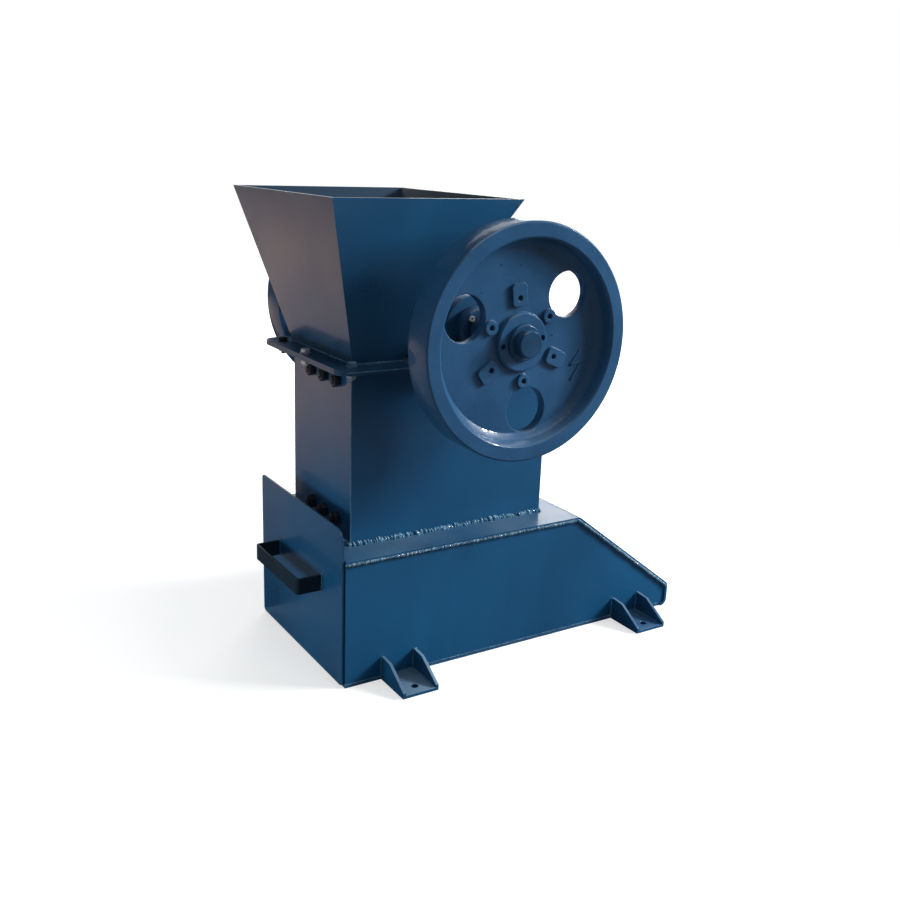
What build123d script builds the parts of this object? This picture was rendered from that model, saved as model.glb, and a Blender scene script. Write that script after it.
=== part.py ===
from build123d import *
import math
import os

# A small floor-standing jaw crusher, welded from plate.
#
# A hollow base box holds a collecting drawer. The crushing body stands on the base, with a fixed
# jaw on its front wall and a swing jaw that hangs on an eccentric shaft. Two cast flywheels sit on
# the ends of that shaft, and a hopper feeds the gap between the jaws.
#
# Frame: millimetres, +Z up. The origin is on the ground, in the middle of the four anchor holes.
# The drawer pulls out towards -Y. Right means +X, seen from the drawer side.

# Anchor holes and feet
anchor_pitch_x = 400.0
anchor_pitch_y = 448.0
anchor_hole_d = 11.0
foot_width = 60.0
foot_end_margin = 20.0
foot_sheet = 5.0
foot_gusset_height = 38.0
foot_knee_reach = 25.0
foot_knee_drop = 2.0
foot_toe_height = 9.0

# Base box
base_width = 309.0
base_height = 200.0
base_sheet = 5.0
base_front_reach = 313.5
base_bend_reach = 107.0
base_rear_reach = 320.0
base_slope_low = 41.0
base_bend_r = 12.0
base_side_inset = 3.0
discharge_width = 150.0
discharge_length = 140.0
discharge_setback = 19.0
discharge_corner_r = 8.0

# Drawer
drawer_front_width = 298.0
drawer_front_height = 242.0
drawer_front_rise = 3.0
drawer_front_sheet = 3.0
drawer_front_gap = 1.5
drawer_corner_r = 7.0
drawer_right_top_r = 20.0
tray_sheet = 3.0
tray_height = 150.0
tray_length = 402.0
tray_side_clearance = 5.0
tray_run_clearance = 0.3
tray_corner_r = 10.0
handle_span = 160.0
handle_reach = 40.0
handle_strip = 25.0
handle_sheet = 4.0
handle_low = 129.0
handle_bend_r = 5.0

# Crusher body
body_width = 198.0
body_length = 345.0
body_height = 264.0
body_setback = 32.5
front_wall_t = 12.0
rear_wall_t = 12.0
side_plate_t = 16.0
cheek_plate_t = 6.0
cheek_plate_length = 130.0
cheek_plate_margin = 5.0

# Flanges on top of the body
flange_t = 4.0
flange_width = 272.0
flange_front_overhang = 36.5
flange_rear_overhang = 30.0
hopper_flange_length = 134.5
flange_corner_r = 18.0

# Hopper
hopper_sheet = 5.0
hopper_height = 230.0
hopper_bottom_width = 208.0
hopper_bottom_length = 79.0
hopper_bottom_overhang = 1.0
hopper_top_width = 346.0
hopper_top_length = 295.0
hopper_front_flare = 65.0

# Jaws
fixed_jaw_side_gap = 1.0
jaw_back_t = 10.0
jaw_tooth_height = 7.0
tooth_pitch = 21.0
fixed_tooth_count = 7
swing_tooth_count = 6
jaw_bottom_clearance = 12.0
jaw_top_clearance = 14.0
feed_gap = 54.0
discharge_gap = 18.0
tooth_rise_share = 0.22
tooth_peak_share = 0.20

# Shaft, bearings and throw
shaft_setback = 186.5
shaft_lift = 48.0
throw = 5.0
journal_d = 40.0
eccentric_d = 54.0
eccentric_end_play = 1.0
shaft_end_d = 38.0
shaft_end_length = 60.0
shaft_end_proud = 1.0
shaft_end_chamfer = 1.5
running_clearance = 0.25
seat_clearance = 0.1

# Pillow blocks
pillow_spread = 200.0
pillow_width = 44.0
pillow_length = 160.0
pillow_foot_t = 16.0
pillow_housing_r = 48.0
pillow_bolt_pitch = 126.0
pillow_bolt_hole_d = 13.0
pillow_shoulder_share = 0.62
pillow_face_recess = 2.0
pillow_face_rim = 8.0
cap_r = 33.0
cap_length = 20.0
cap_edge_chamfer = 4.0

# Flywheels
wheel_face_span = 528.0
wheel_r = 164.0
wheel_width = 50.0
wheel_web_t = 14.0
wheel_web_setback = 25.0
rim_t = 22.0
rim_draft = 5.0
rim_root_chamfer = 8.0
rim_edge_chamfer = 2.0
hub_r = 41.0
hub_front_rise = 7.0
hub_back_rise = 5.0
hub_edge_chamfer = 2.0
window_r = 32.5
window_circle_r = 98.5
window_count = 3
window_first_angle = 38.7
boss_rise = 4.5
boss_first_angle = 36.6
boss_hole_d = 8.0
round_boss_r = 10.0
round_boss_circle_r = 55.5
long_boss_length = 31.0
long_boss_width = 24.0
long_boss_corner_r = 6.0
long_boss_circle_r = 65.0
long_boss_hole_circle_r = 60.5
puller_hole_d = 8.0
puller_hole_depth = 14.0
puller_circle_r = 32.5
puller_angle = 7.5
collar_r = 25.5
collar_width = 6.0
collar_edge_chamfer = 1.5

# Swing jaw casting
barrel_r = 50.0
barrel_side_gap = 6.0
swing_slab_t = 20.0
swing_rib_t = 14.0
swing_boss_depth = 38.0
swing_boss_low = 16.0
swing_boss_height = 54.0
swing_side_gap = 6.0
swing_rear_angle = -42.0

# Toggle plate and its seat
toggle_t = 12.0
toggle_width = 116.0
toggle_free_gap = 10.0
toggle_rise = 14.0
toggle_seat_depth = 30.0
toggle_seat_height = 44.0
toggle_groove_clearance = 0.2

# Tension rod, spring and nut
rod_d = 12.0
rod_height = 25.0
rod_wall_hole_d = 16.0
spring_wire_d = 4.0
spring_mean_r = 12.0
spring_length = 42.0
spring_turns = 6
spring_turn_sides = 14
spring_wire_sides = 6
washer_r = 18.0
washer_t = 4.0
nut_flats = 19.0
nut_t = 10.0
rod_tail = 6.0

# One overrun for every cut
overrun = 5.0

# Derived places
base_front_y = -base_front_reach
body_front_y = base_front_y + body_setback
body_rear_y = body_front_y + body_length
body_top_z = base_height + body_height
body_inner_x = body_width / 2 - side_plate_t
body_inner_front_y = body_front_y + front_wall_t
body_inner_rear_y = body_rear_y - rear_wall_t
flange_front_y = body_front_y - flange_front_overhang
flange_top_z = body_top_z + flange_t
hopper_flange_top_z = flange_top_z + flange_t
hopper_top_z = hopper_flange_top_z + hopper_height
side_outer_x = base_width / 2 - base_side_inset
side_inner_x = side_outer_x - base_sheet
drawer_inner_y = base_front_y - drawer_front_gap
drawer_outer_y = drawer_inner_y - drawer_front_sheet
shaft_y = body_front_y + shaft_setback
shaft_z = flange_top_z + shaft_lift
eccentric_z = shaft_z - throw
jaw_low_z = base_height + jaw_bottom_clearance
jaw_high_z = body_top_z - jaw_top_clearance
jaw_t = jaw_back_t + jaw_tooth_height
fixed_peak_y = body_inner_front_y + jaw_t
barrel_half = pillow_spread / 2 - pillow_width / 2 - barrel_side_gap
wheel_face_x = wheel_face_span / 2
wheel_back_x = wheel_face_x - wheel_width
web_face_x = wheel_face_x - wheel_web_setback
web_back_x = web_face_x - wheel_web_t
hub_face_x = web_face_x + hub_front_rise
hub_back_x = wheel_back_x - hub_back_rise
cap_inner_x = pillow_spread / 2 + pillow_width / 2
swing_lean = math.atan2(feed_gap - discharge_gap, jaw_high_z - jaw_low_z)
swing_length = (jaw_high_z - jaw_low_z) / math.cos(swing_lean)
swing_half = body_inner_x - cheek_plate_t - swing_side_gap


def block(x_low, x_high, y_low, y_high, z_low, z_high):
    """A box between two corners."""
    centre = Pos((x_low + x_high) / 2, (y_low + y_high) / 2, (z_low + z_high) / 2)
    return centre * Box(x_high - x_low, y_high - y_low, z_high - z_low)


def side_prism(points, x_low, x_high):
    """A prism along X whose outline is given as (y, z) points."""
    outline = make_face(Polyline(*points, close=True))
    return extrude(Plane.YZ.offset(x_low) * outline, amount=x_high - x_low, dir=(1, 0, 0))


def turned(points, chamfers=()):
    """A body of revolution about the shaft line, from (x, radius) points and chamfered corners."""
    face = make_face(Polyline(*points, close=True))
    for x, radius, width in chamfers:
        face = chamfer(face.vertices().sort_by_distance((x, radius, 0))[0], width)
    return Pos(0, shaft_y, shaft_z) * revolve(face, Axis.X)


def across(radius, x_low, x_high, y, z):
    """A round bar along X."""
    return Pos((x_low + x_high) / 2, y, z) * Rot(0, 90, 0) * Cylinder(radius, x_high - x_low)


def along(radius, y_low, y_high, x, z):
    """A round bar along Y."""
    return Pos(x, (y_low + y_high) / 2, z) * Rot(90, 0, 0) * Cylinder(radius, y_high - y_low)


def mirrored(shape):
    """The same piece on the left side."""
    return mirror(shape, Plane.YZ)


# Base box

def cover_slope():
    """The slant of the cover's rear stretch, as an angle below level."""
    return math.atan2(base_height - base_slope_low, base_rear_reach - base_bend_reach)


def cover_region(inset):
    """Everything inside the cover's outline, inset from its outer face, as a face in (y, z)."""
    low_turn = math.pi / 2 - cover_slope()
    corners = [
        (base_bend_reach - inset * math.tan(cover_slope() / 2), base_height - inset),
        (base_rear_reach - inset, base_slope_low - inset * math.tan(low_turn / 2)),
        (base_rear_reach - inset, inset),
    ]
    outline = [(base_front_y, base_height - inset)] + corners + [(base_front_y, inset)]
    face = make_face(Polyline(*outline, close=True))
    for y, z in corners:
        face = fillet(face.vertices().sort_by_distance((y, z, 0))[0], base_bend_r - inset)
    return face


def base_slice(region, x_low, x_high):
    return extrude(Plane.YZ.offset(x_low) * region, amount=x_high - x_low, dir=(1, 0, 0))


def top_plate_end_y():
    """Where the flat top ends and the first bend begins."""
    return base_bend_reach - base_bend_r * math.tan(cover_slope() / 2)


def floor_end_y():
    """Where the flat floor ends and the last bend begins."""
    return base_rear_reach - base_bend_r


def make_base_top_plate():
    half = base_width / 2
    plate = block(-half, half, base_front_y, top_plate_end_y(), base_height - base_sheet, base_height)
    hole_y = body_inner_front_y + discharge_length / 2 + discharge_setback
    hole = RectangleRounded(discharge_width, discharge_length, discharge_corner_r)
    cut = Pos(0, hole_y, base_height - base_sheet - overrun) * extrude(hole, base_sheet + 2 * overrun)
    return plate - cut


def make_base_slope_cover():
    """The bent sheet from the top plate down the slope, the rear and into the floor."""
    half = base_width / 2
    ring = cover_region(0) - cover_region(base_sheet)
    cover = base_slice(ring, -half, half)
    front_y = base_front_y - overrun
    top_z = base_height + overrun
    above = block(-base_width, base_width, front_y, top_plate_end_y(), base_height / 2, top_z)
    below = block(-base_width, base_width, front_y, floor_end_y(), -overrun, base_sheet + overrun)
    return cover - above - below


def make_base_side():
    """Right side plate, inside the cover and on the floor."""
    return base_slice(cover_region(base_sheet), side_inner_x, side_outer_x)


def make_base_floor():
    return block(-side_outer_x, side_outer_x, base_front_y, floor_end_y(), 0, base_sheet)


def make_foot(side_y):
    """Right foot: a sole plate with an anchor hole between two gussets."""
    centre_y = side_y * anchor_pitch_y / 2
    end_x = anchor_pitch_x / 2 + foot_end_margin
    sole = block(side_outer_x, end_x, centre_y - foot_width / 2, centre_y + foot_width / 2, 0, foot_sheet)
    knee_x = side_outer_x + foot_knee_reach
    outline = [
        (side_outer_x, 0),
        (end_x, 0),
        (end_x, foot_toe_height),
        (knee_x, foot_gusset_height - foot_knee_drop),
        (side_outer_x, foot_gusset_height),
    ]
    gusset = extrude(Plane.XZ * make_face(Polyline(*outline, close=True)), foot_sheet, dir=(0, 1, 0))
    front_gusset = Pos(0, centre_y - foot_width / 2, 0) * gusset
    rear_gusset = Pos(0, centre_y + foot_width / 2 - foot_sheet, 0) * gusset
    hole = Pos(anchor_pitch_x / 2, centre_y, 0) * Cylinder(anchor_hole_d / 2, 2 * (foot_sheet + overrun))
    return sole + front_gusset + rear_gusset - hole


# Drawer

def make_drawer_front():
    mid_z = drawer_front_rise + drawer_front_height / 2
    face = Rectangle(drawer_front_width, drawer_front_height)
    for corner in face.vertices():
        is_right_top = corner.X > 0 and corner.Y > 0
        round_r = drawer_right_top_r if is_right_top else drawer_corner_r
        nearest = face.vertices().sort_by_distance(corner)[0]
        face = fillet(nearest, round_r)
    standing = Pos(0, drawer_inner_y, mid_z) * (Plane.XZ * face)
    return extrude(standing, drawer_front_sheet, dir=(0, -1, 0))


def make_drawer_tray():
    width = 2 * (side_inner_x - tray_side_clearance)
    low = base_sheet + tray_run_clearance
    outer = Rectangle(width, tray_length)
    inner = Rectangle(width - 2 * tray_sheet, tray_length - 2 * tray_sheet)
    outer = fillet(outer.vertices().group_by(Axis.Y)[-1], tray_corner_r)
    inner = fillet(inner.vertices().group_by(Axis.Y)[-1], tray_corner_r - tray_sheet)
    middle_y = drawer_inner_y + tray_length / 2
    shell = Pos(0, middle_y, low) * extrude(outer, tray_height)
    return shell - Pos(0, middle_y, low + tray_sheet) * extrude(inner, tray_height + overrun)


def make_drawer_handle():
    """A flat strip bent to a U and welded to the drawer front."""
    outer = Rectangle(handle_span, 2 * handle_reach)
    inner = Rectangle(handle_span - 2 * handle_sheet, 2 * (handle_reach - handle_sheet))
    outer = fillet(outer.vertices(), handle_bend_r)
    inner = fillet(inner.vertices(), handle_bend_r - handle_sheet)
    loop = extrude(outer - inner, handle_strip)
    half = block(-handle_span, handle_span, -2 * handle_reach, 0, 0, handle_strip)
    return Pos(0, drawer_outer_y, handle_low) * (loop & half)


# Crusher body

def make_front_wall():
    x = body_width / 2
    return block(-x, x, body_front_y, body_inner_front_y, base_height, body_top_z)


def make_rear_wall():
    x = body_width / 2
    wall = block(-x, x, body_inner_rear_y, body_rear_y, base_height, body_top_z)
    rod_z = base_height + rod_height
    return wall - along(rod_wall_hole_d / 2, body_inner_rear_y - overrun, body_rear_y + overrun, 0, rod_z)


def make_side_plate():
    """Right side plate, between the front and rear walls."""
    return block(body_inner_x, body_width / 2, body_inner_front_y, body_inner_rear_y,
                 base_height, body_top_z)


def make_cheek_plate():
    """Right wear plate beside the jaws."""
    return block(body_inner_x - cheek_plate_t, body_inner_x, body_inner_front_y,
                 body_inner_front_y + cheek_plate_length, base_height + cheek_plate_margin,
                 body_top_z - cheek_plate_margin)


def flange_plate(length, low_z, hole_half, hole_front_y, hole_rear_y):
    """A plate on the body with a rectangular hole."""
    outline = RectangleRounded(flange_width, length, flange_corner_r)
    plate = Pos(0, flange_front_y + length / 2, low_z) * extrude(outline, flange_t)
    return plate - block(-hole_half, hole_half, hole_front_y, hole_rear_y,
                         low_z - overrun, low_z + flange_t + overrun)


def make_body_flange():
    length = flange_front_overhang + body_length + flange_rear_overhang
    return flange_plate(length, body_top_z, body_inner_x, body_inner_front_y, body_inner_rear_y)


def make_hopper_flange():
    hole_front_y = body_front_y - hopper_bottom_overhang + hopper_sheet
    hole_rear_y = hole_front_y + hopper_bottom_length - 2 * hopper_sheet
    hole_half = hopper_bottom_width / 2 - hopper_sheet
    return flange_plate(hopper_flange_length, flange_top_z, hole_half, hole_front_y, hole_rear_y)


# Hopper

def hopper_ends(inset):
    """Front and rear hopper lines as (y at bottom, y at top), inset square to the sheet."""
    front_low = body_front_y - hopper_bottom_overhang
    front_high = front_low - hopper_front_flare
    rear_low = front_low + hopper_bottom_length
    rear_high = front_high + hopper_top_length
    front_shift = inset * math.hypot(1, hopper_front_flare / hopper_height)
    rear_shift = inset * math.hypot(1, (rear_high - rear_low) / hopper_height)
    front = (front_low + front_shift, front_high + front_shift)
    rear = (rear_low - rear_shift, rear_high - rear_shift)
    return front, rear


def hopper_block(inset):
    """The flared volume inside the hopper's outer faces, or inside its sheets."""
    front, rear = hopper_ends(inset)
    flare = (hopper_top_width - hopper_bottom_width) / 2
    side_shift = inset * math.hypot(1, flare / hopper_height)
    low_half = hopper_bottom_width / 2 - side_shift
    high_half = hopper_top_width / 2 - side_shift
    side_view = hopper_slab(front, hopper_top_width, rear[0], rear[1])
    front_outline = [
        (-low_half, hopper_flange_top_z),
        (low_half, hopper_flange_top_z),
        (high_half, hopper_top_z),
        (-high_half, hopper_top_z),
    ]
    start = Pos(0, front[1] - overrun, 0) * (Plane.XZ * make_face(Polyline(*front_outline, close=True)))
    front_view = extrude(start, hopper_top_length + 2 * overrun, dir=(0, 1, 0))
    return side_view & front_view


def hopper_slab(near, far, low_y, high_y):
    """Everything between two slanted lines and a far limit, used to split the hopper."""
    outline = [
        (near[0], hopper_flange_top_z),
        (near[1], hopper_top_z),
        (high_y, hopper_top_z),
        (low_y, hopper_flange_top_z),
    ]
    return side_prism(outline, -far, far)


def make_hopper_plates():
    """Front and rear plates run full width, and the side plates fit between them."""
    outer = hopper_block(0)
    inner = hopper_block(hopper_sheet)
    front_inner, rear_inner = hopper_ends(hopper_sheet)
    far = hopper_top_width
    middle = hopper_slab(front_inner, far, rear_inner[0], rear_inner[1])
    ahead = hopper_slab(front_inner, far, front_inner[0] - far, front_inner[1] - far)
    behind = hopper_slab(rear_inner, far, rear_inner[0] + far, rear_inner[1] + far)
    front = outer & ahead
    rear = outer & behind
    sides = (outer & middle) - inner
    right = sides.solids().sort_by(Axis.X)[-1]
    left = sides.solids().sort_by(Axis.X)[0]
    return front, rear, left, right


# Jaws

def jaw_section(half_width, toothed_side, count):
    """Cross-section of a ribbed jaw plate, back on the X axis and teeth towards one side."""
    first_x = -count * tooth_pitch / 2
    root = toothed_side * jaw_back_t
    peak = toothed_side * jaw_t
    points = [(-half_width, 0), (-half_width, root)]
    rise = tooth_rise_share * tooth_pitch
    top = tooth_peak_share * tooth_pitch
    flat = (tooth_pitch - top - 2 * rise) / 2
    for index in range(count):
        x = first_x + index * tooth_pitch + flat
        points += [(x, root), (x + rise, peak), (x + rise + top, peak), (x + 2 * rise + top, root)]
    points += [(half_width, root), (half_width, 0)]
    return make_face(Polyline(*points, close=True))


def make_fixed_jaw_plate():
    half_width = body_inner_x - cheek_plate_t - fixed_jaw_side_gap
    section = jaw_section(half_width, 1, fixed_tooth_count)
    return Pos(0, body_inner_front_y, jaw_low_z) * extrude(section, jaw_high_z - jaw_low_z)


def swing_point(depth, height):
    """A (y, z) place measured from the swing jaw's toothed line: back into it, and up along it."""
    y = fixed_peak_y + discharge_gap + height * math.sin(swing_lean) + depth * math.cos(swing_lean)
    z = jaw_low_z + height * math.cos(swing_lean) - depth * math.sin(swing_lean)
    return y, z


def make_swing_jaw_plate():
    foot_y, foot_z = swing_point(jaw_t, 0)
    lean = (0, math.sin(swing_lean), math.cos(swing_lean))
    frame = Plane(origin=(0, foot_y, foot_z), x_dir=(1, 0, 0), z_dir=lean)
    section = frame * jaw_section(swing_half, -1, swing_tooth_count)
    return extrude(section, swing_length, dir=lean)


def barrel_point(degrees):
    angle = math.radians(degrees)
    return shaft_y + barrel_r * math.cos(angle), eccentric_z + barrel_r * math.sin(angle)


def barrel_tangent(point):
    """Where a line from a place in front of the barrel touches the barrel's upper side."""
    run = shaft_y - point[0]
    rise = eccentric_z - point[1]
    lean = math.atan2(rise, run) + math.asin(barrel_r / math.hypot(run, rise))
    return barrel_point(math.degrees(lean) + 90)


def swing_boss_rear():
    return jaw_t + swing_slab_t + swing_boss_depth


def toggle_front_height():
    return swing_boss_low + swing_boss_height / 2


def make_swing_jaw():
    """Casting: a barrel on the eccentric, a slab behind the teeth, three ribs and a toggle boss."""
    low = swing_point(jaw_t, 0)
    high = swing_point(jaw_t, swing_length)
    slab_low = swing_point(jaw_t + swing_slab_t, 0)
    slab_high = swing_point(jaw_t + swing_slab_t, swing_length)
    boss_depth = swing_boss_rear()
    boss_top = swing_boss_low + swing_boss_height
    boss_outline = [
        swing_point(jaw_t, swing_boss_low),
        swing_point(boss_depth, swing_boss_low),
        swing_point(boss_depth, boss_top),
        swing_point(jaw_t, boss_top + swing_boss_depth / 2),
    ]
    rib_outline = [
        high,
        barrel_tangent(high),
        (shaft_y, eccentric_z),
        barrel_point(swing_rear_angle),
        swing_point(boss_depth, boss_top),
        swing_point(jaw_t, boss_top),
    ]
    body = across(barrel_r, -barrel_half, barrel_half, shaft_y, eccentric_z)
    body += side_prism([low, high, slab_high, slab_low], -swing_half, swing_half)
    head = [high, barrel_tangent(high), (shaft_y, eccentric_z), slab_high]
    body += side_prism(head, -swing_half, swing_half)
    body += side_prism(boss_outline, -swing_half, swing_half)
    for centre_x in (swing_rib_t / 2 - swing_half, 0, swing_half - swing_rib_t / 2):
        body += side_prism(rib_outline, centre_x - swing_rib_t / 2, centre_x + swing_rib_t / 2)
    bore_r = eccentric_d / 2 + running_clearance
    reach = barrel_half + overrun
    body -= across(bore_r, -reach, reach, shaft_y, eccentric_z)
    groove_y, groove_z = swing_point(boss_depth, toggle_front_height())
    groove_r = toggle_t / 2 + toggle_groove_clearance
    return body - across(groove_r, -reach, reach, groove_y, groove_z)


# Toggle plate, its seat and the tension rod

def toggle_ends():
    """Centres of the toggle plate's rounded ends as (y, z)."""
    face_y, face_z = swing_point(swing_boss_rear(), toggle_front_height())
    front = (face_y + toggle_free_gap + toggle_t / 2, face_z)
    rear = (body_inner_rear_y - toggle_seat_depth, face_z + toggle_rise)
    return front, rear


def make_toggle_seat():
    _, rear = toggle_ends()
    seat = block(-toggle_width / 2, toggle_width / 2, body_inner_rear_y - toggle_seat_depth,
                 body_inner_rear_y, rear[1] - toggle_seat_height / 2, rear[1] + toggle_seat_height / 2)
    groove_r = toggle_t / 2 + toggle_groove_clearance
    reach = toggle_width / 2 + overrun
    return seat - across(groove_r, -reach, reach, rear[0], rear[1])


def make_toggle_plate():
    front, rear = toggle_ends()
    run = rear[0] - front[0]
    rise = rear[1] - front[1]
    profile = SlotCenterToCenter(math.hypot(run, rise), toggle_t)
    tilt = math.degrees(math.atan2(rise, run))
    middle = Pos((front[0] + rear[0]) / 2, (front[1] + rear[1]) / 2) * Rot(0, 0, tilt)
    face = Plane.YZ.offset(-toggle_width / 2) * (middle * profile)
    return extrude(face, toggle_width, dir=(1, 0, 0))


def spring_start_y():
    return body_rear_y + washer_t


def rod_end_y():
    return spring_start_y() + spring_length + washer_t + nut_t + rod_tail


def make_tension_rod():
    """Drawn back by a spring behind the rear wall; its hook end stays clear of the swing jaw."""
    face_y, _ = swing_point(swing_boss_rear(), swing_boss_low)
    return along(rod_d / 2, face_y + toggle_free_gap, rod_end_y(), 0, base_height + rod_height)


def make_tension_spring():
    pitch = (spring_length - spring_wire_d) / spring_turns
    points = []
    for index in range(spring_turns * spring_turn_sides + 1):
        angle = 2 * math.pi * index / spring_turn_sides
        height = pitch * index / spring_turn_sides
        points.append((spring_mean_r * math.cos(angle), spring_mean_r * math.sin(angle), height))
    path = Polyline(*points)
    section = Plane(origin=path @ 0, z_dir=path % 0) * RegularPolygon(spring_wire_d / 2, spring_wire_sides)
    coil = sweep(section, path, transition=Transition.RIGHT)
    placed = Pos(0, spring_start_y() + spring_wire_d / 2, base_height + rod_height) * Rot(-90, 0, 0)
    return placed * coil


def make_spring_washers():
    """Two washers, one against the rear wall and one under the nut."""
    near_y = spring_start_y() - washer_t
    far_y = spring_start_y() + spring_length
    z = base_height + rod_height
    bore_r = rod_d / 2 + seat_clearance
    washers = []
    for y in (near_y, far_y):
        ring = along(washer_r, y, y + washer_t, 0, z) - along(bore_r, y - overrun, y + washer_t + overrun, 0, z)
        washers.append(ring)
    return Compound(children=[washers[0].solid(), washers[1].solid()])


def make_tension_nut():
    y = spring_start_y() + spring_length + washer_t
    z = base_height + rod_height
    hexagon = RegularPolygon(nut_flats / 2, 6, major_radius=False)
    body = Pos(0, y, z) * extrude(Plane.XZ * hexagon, nut_t, dir=(0, 1, 0))
    return body - along(rod_d / 2 + seat_clearance, y - overrun, y + nut_t + overrun, 0, z)


# Bearings

def make_pillow_block():
    """Right pillow block: a flanged foot under a round housing."""
    centre_x = pillow_spread / 2
    x_low = centre_x - pillow_width / 2
    x_high = centre_x + pillow_width / 2
    foot = block(x_low, x_high, shaft_y - pillow_length / 2, shaft_y + pillow_length / 2,
                 flange_top_z, flange_top_z + pillow_foot_t)
    shoulder = pillow_shoulder_share * pillow_length / 2
    neck = side_prism([
        (shaft_y - shoulder, flange_top_z),
        (shaft_y + shoulder, flange_top_z),
        (shaft_y + shoulder, flange_top_z + pillow_foot_t),
        (shaft_y + pillow_housing_r, shaft_z),
        (shaft_y - pillow_housing_r, shaft_z),
        (shaft_y - shoulder, flange_top_z + pillow_foot_t),
    ], x_low, x_high)
    housing = foot + neck + across(pillow_housing_r, x_low, x_high, shaft_y, shaft_z)
    for side in (-1, 1):
        y = shaft_y + side * pillow_bolt_pitch / 2
        housing -= Pos(centre_x, y, flange_top_z) * Cylinder(pillow_bolt_hole_d / 2, 2 * (pillow_foot_t + overrun))
    recess_r = pillow_housing_r - pillow_face_rim
    housing -= across(recess_r, x_low - overrun, x_low + pillow_face_recess, shaft_y, shaft_z)
    bore_r = journal_d / 2 + running_clearance
    return housing - across(bore_r, x_low - overrun, x_high + overrun, shaft_y, shaft_z)


def make_bearing_cap():
    """Right end cap on the outer face of the pillow block."""
    x_low = cap_inner_x
    x_high = x_low + cap_length
    bore_r = journal_d / 2 + running_clearance
    points = [(x_low, bore_r), (x_high, bore_r), (x_high, cap_r), (x_low, cap_r)]
    return turned(points, [(x_high, cap_r, cap_edge_chamfer)])


# Rotor

def make_eccentric_shaft():
    """Journals on the shaft line, ends for the wheels, and the offset part that moves the jaw."""
    tip_x = wheel_face_x + shaft_end_proud
    shoulder_x = tip_x - shaft_end_length
    journal_r = journal_d / 2
    end_r = shaft_end_d / 2
    points = [
        (-tip_x, 0), (-tip_x, end_r - shaft_end_chamfer), (shaft_end_chamfer - tip_x, end_r),
        (-shoulder_x, end_r), (-shoulder_x, journal_r), (shoulder_x, journal_r), (shoulder_x, end_r),
        (tip_x - shaft_end_chamfer, end_r), (tip_x, end_r - shaft_end_chamfer), (tip_x, 0),
    ]
    half = barrel_half + eccentric_end_play
    return turned(points) + across(eccentric_d / 2, -half, half, shaft_y, eccentric_z)


def around(circle_r, degrees):
    """A place on a circle about the shaft, as (y, z); angles turn from +Y towards +Z."""
    angle = math.radians(degrees)
    return shaft_y + circle_r * math.cos(angle), shaft_z + circle_r * math.sin(angle)


def make_flywheel():
    """Right flywheel: a turned rim, web and hub with windows and cast bosses."""
    bore_r = shaft_end_d / 2 + seat_clearance
    rim_inner_r = wheel_r - rim_t
    rim_root_r = rim_inner_r - rim_draft
    points = [
        (hub_back_x, bore_r), (hub_face_x, bore_r), (hub_face_x, hub_r), (web_face_x, hub_r),
        (web_face_x, rim_root_r), (wheel_face_x, rim_inner_r), (wheel_face_x, wheel_r),
        (wheel_back_x, wheel_r), (wheel_back_x, rim_inner_r), (web_back_x, rim_root_r),
        (web_back_x, hub_r), (hub_back_x, hub_r),
    ]
    chamfers = [
        (wheel_face_x, rim_inner_r, rim_edge_chamfer), (wheel_face_x, wheel_r, rim_edge_chamfer),
        (wheel_back_x, wheel_r, rim_edge_chamfer), (hub_face_x, hub_r, hub_edge_chamfer),
        (web_face_x, rim_root_r, rim_root_chamfer),
    ]
    wheel = turned(points, chamfers)
    boss_face_x = web_face_x + boss_rise
    step = 360 / window_count
    for index in range(window_count):
        window_angle = window_first_angle + index * step
        y, z = around(window_circle_r, window_angle)
        wheel -= across(window_r, wheel_back_x - overrun, web_face_x + overrun, y, z)
        boss_angle = boss_first_angle + index * step
        y, z = around(round_boss_circle_r, boss_angle)
        wheel += across(round_boss_r, web_face_x - boss_rise, boss_face_x, y, z)
        wheel -= across(boss_hole_d / 2, wheel_back_x - overrun, boss_face_x + overrun, y, z)
        between = boss_angle + step / 2
        y, z = around(long_boss_circle_r, between)
        pad = Rot(0, 0, between) * RectangleRounded(long_boss_length, long_boss_width, long_boss_corner_r)
        placed = Plane(origin=(web_face_x - boss_rise, y, z), x_dir=(0, 1, 0), z_dir=(1, 0, 0)) * pad
        wheel += extrude(placed, 2 * boss_rise, dir=(1, 0, 0))
        y, z = around(long_boss_hole_circle_r, between)
        wheel -= across(boss_hole_d / 2, wheel_back_x - overrun, boss_face_x + overrun, y, z)
    for index in range(2):
        y, z = around(puller_circle_r, puller_angle + index * 180)
        wheel -= across(puller_hole_d / 2, hub_face_x - puller_hole_depth, hub_face_x + overrun, y, z)
    return wheel


def make_collar():
    """Right retaining collar on the shaft, against the hub."""
    bore_r = shaft_end_d / 2 + seat_clearance
    x_high = hub_face_x + collar_width
    points = [(hub_face_x, bore_r), (x_high, bore_r), (x_high, collar_r), (hub_face_x, collar_r)]
    return turned(points, [(x_high, collar_r, collar_edge_chamfer)])


# All pieces by name

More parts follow.
